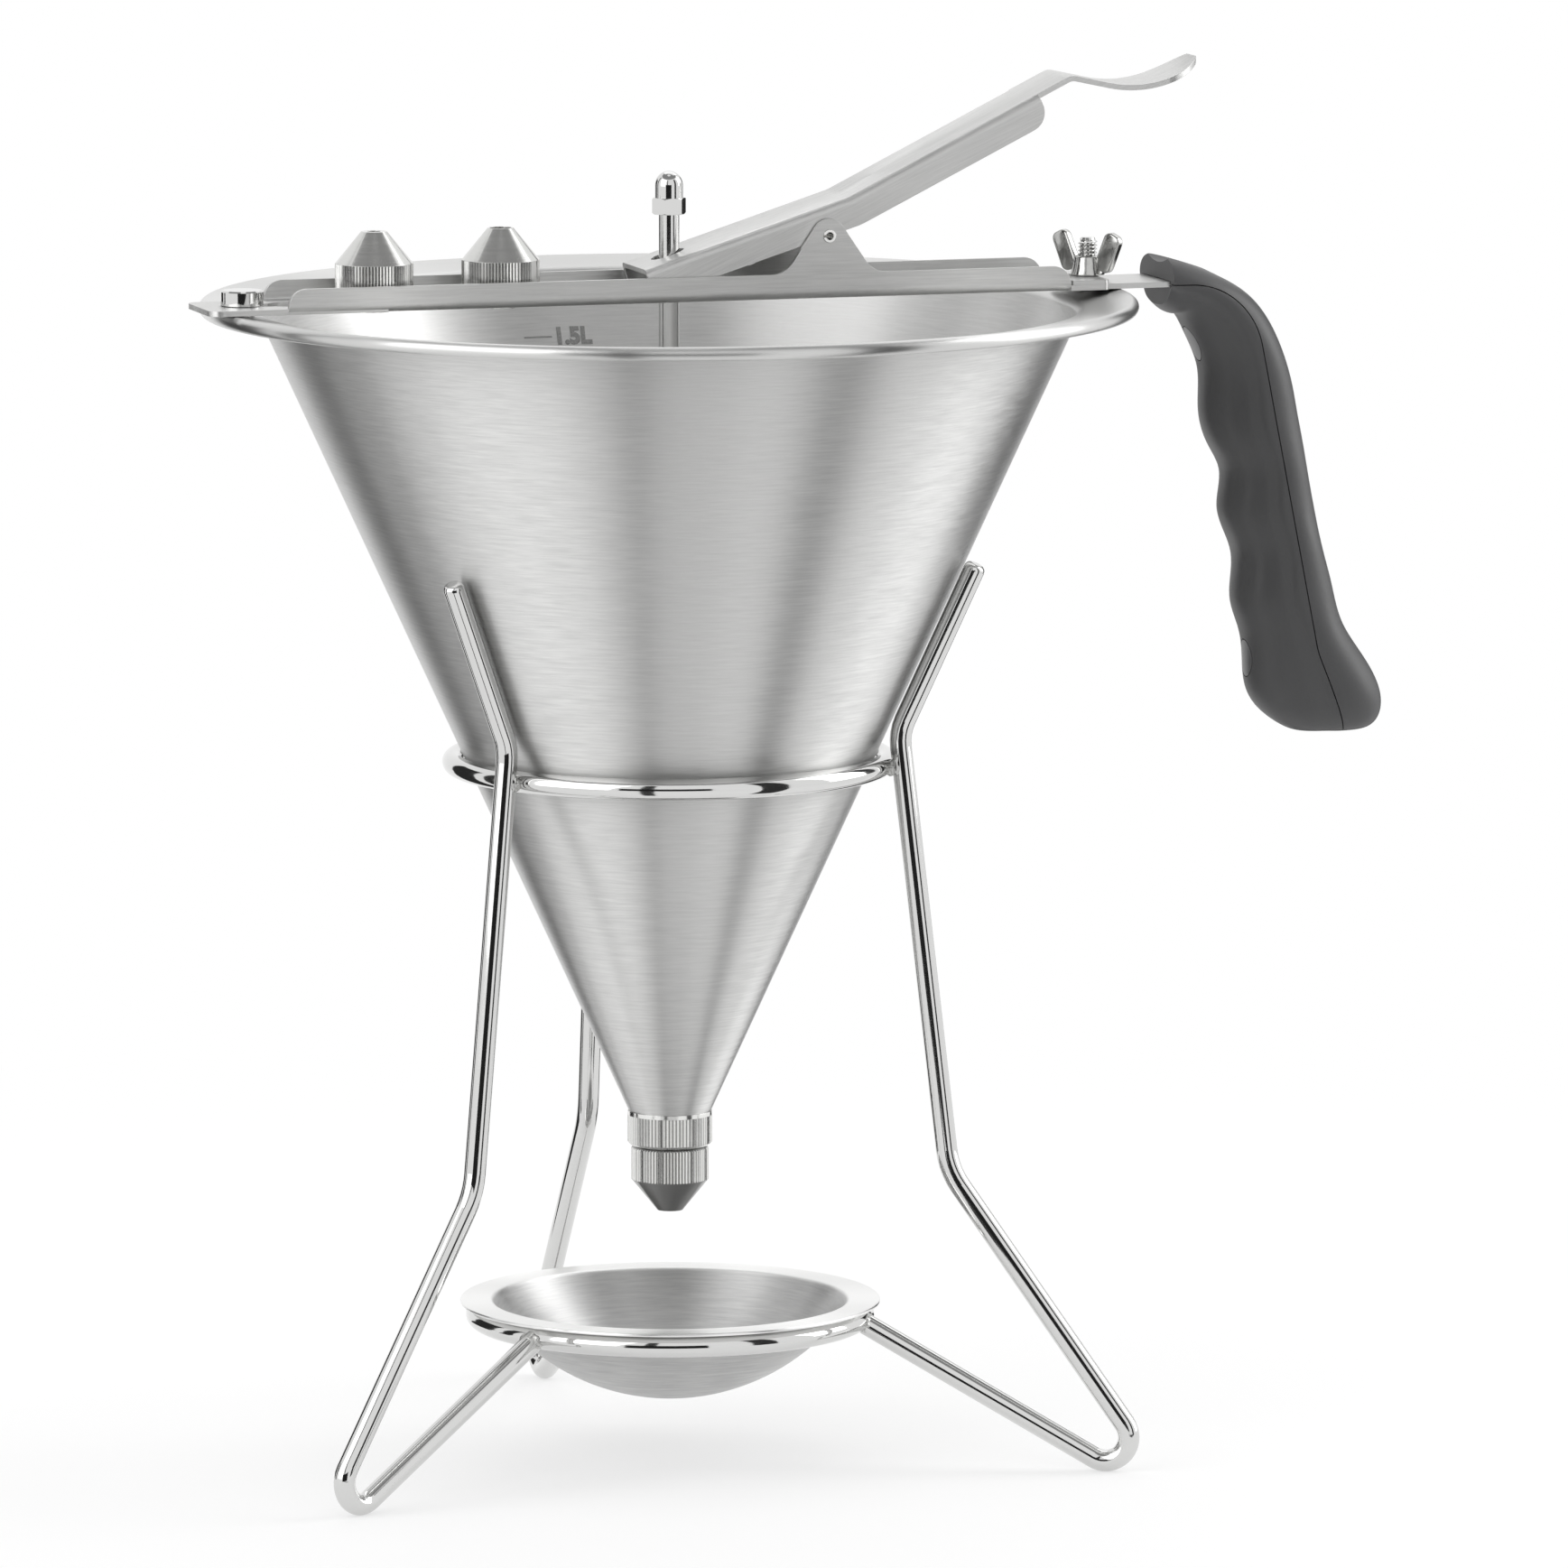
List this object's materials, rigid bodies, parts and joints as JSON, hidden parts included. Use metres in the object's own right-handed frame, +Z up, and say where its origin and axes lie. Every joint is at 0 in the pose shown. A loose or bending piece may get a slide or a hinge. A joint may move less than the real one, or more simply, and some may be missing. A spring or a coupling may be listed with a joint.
{
  "type": "batter dispenser",
  "caption": "Stainless steel funnel batter dispenser with a crossbar, a lever-lifted valve rod, a pistol handle, a screw nozzle and a bent wire stand with a drip bowl",
  "frame": {"origin": "on the funnel's axis at the floor the stand's three feet stand on", "axes": "+X runs along the crossbar towards the handle, +Z is up along the funnel's axis, +Y completes the right-handed frame"},
  "size_m": [0.2845, 0.219, 0.3228],
  "materials": {
    "spun_sheet": "spun and finely brushed round the axis",
    "folded_sheet": "brushed sheet with sheared edges",
    "stand_wire": "bright drawn wire, electropolished",
    "turned_steel": "turned, straight knurl on the grips",
    "polished_fasteners": "bright polished",
    "spring_wire": "drawn spring wire",
    "handle_plastic": "fine spark-eroded texture"
  },
  "bodies": {
    "stand": {"upper_ring": "stand_wire", "lower_ring": "stand_wire", "leg_front_left": "stand_wire", "leg_front_right": "stand_wire", "leg_back": "stand_wire", "weld_beads": "stand_wire"},
    "drip_bowl": {"drip_bowl": "spun_sheet"},
    "funnel": {"funnel_cone": "spun_sheet", "outlet_collar": "turned_steel", "button_stud": "polished_fasteners", "threaded_stud": "polished_fasteners", "cross_bar": "folded_sheet", "clamp_plate": "folded_sheet", "nozzle_pegs": "turned_steel", "pivot_pin": "polished_fasteners", "torsion_spring": "spring_wire", "handle_grip_shell": "handle_plastic", "handle_back_shell": "handle_plastic", "handle_screws": "polished_fasteners", "handle_plugs": "handle_plastic"},
    "lever": {"lever": "folded_sheet"},
    "valve": {"valve_rod": "turned_steel", "valve_tip": "turned_steel", "acorn_nut": "polished_fasteners"},
    "wing_nut": {"wing_nut": "polished_fasteners"},
    "nozzle": {"nozzle": "turned_steel"},
    "spare_nozzle_small": {"spare_nozzle_small": "turned_steel"},
    "spare_nozzle_large": {"spare_nozzle_large": "turned_steel"}
  },
  "joints": [
    {"name": "bowl_lift", "type": "slide", "parent": "stand", "child": "drip_bowl", "axis": [0, 0, 1], "range_m": [0, 0.02]},
    {"name": "funnel_lift", "type": "slide", "parent": "stand", "child": "funnel", "axis": [0, 0, 1], "range_m": [0, 0.16]},
    {"name": "lever_swing", "type": "hinge", "parent": "funnel", "child": "lever", "pos_m": [0.035, 0, 0.2842], "axis": [0, 1, 0], "range_deg": [0, 22], "stiffness_Nm_per_rad": 0.12, "springref_deg": -34.38},
    {"name": "valve_lift", "type": "slide", "parent": "funnel", "child": "valve", "axis": [0, 0, 1], "range_m": [0, 0.0055]},
    {"name": "wing_nut_turn", "type": "hinge", "parent": "funnel", "child": "wing_nut", "pos_m": [0.1012, 0, 0.276], "axis": [0, 0, 1], "continuous": true},
    {"name": "nozzle_turn", "type": "hinge", "parent": "funnel", "child": "nozzle", "pos_m": [0, 0, 0.065], "axis": [0, 0, 1], "continuous": true},
    {"name": "spare_small_turn", "type": "hinge", "parent": "funnel", "child": "spare_nozzle_small", "pos_m": [-0.0702, 0, 0.279], "axis": [0, 0, 1], "continuous": true},
    {"name": "spare_large_turn", "type": "hinge", "parent": "funnel", "child": "spare_nozzle_large", "pos_m": [-0.0402, 0, 0.279], "axis": [0, 0, 1], "continuous": true}
  ],
  "couplings": [
    {"joint": "valve_lift", "follows": "lever_swing", "m_per_rad": 0.01354}
  ]
}
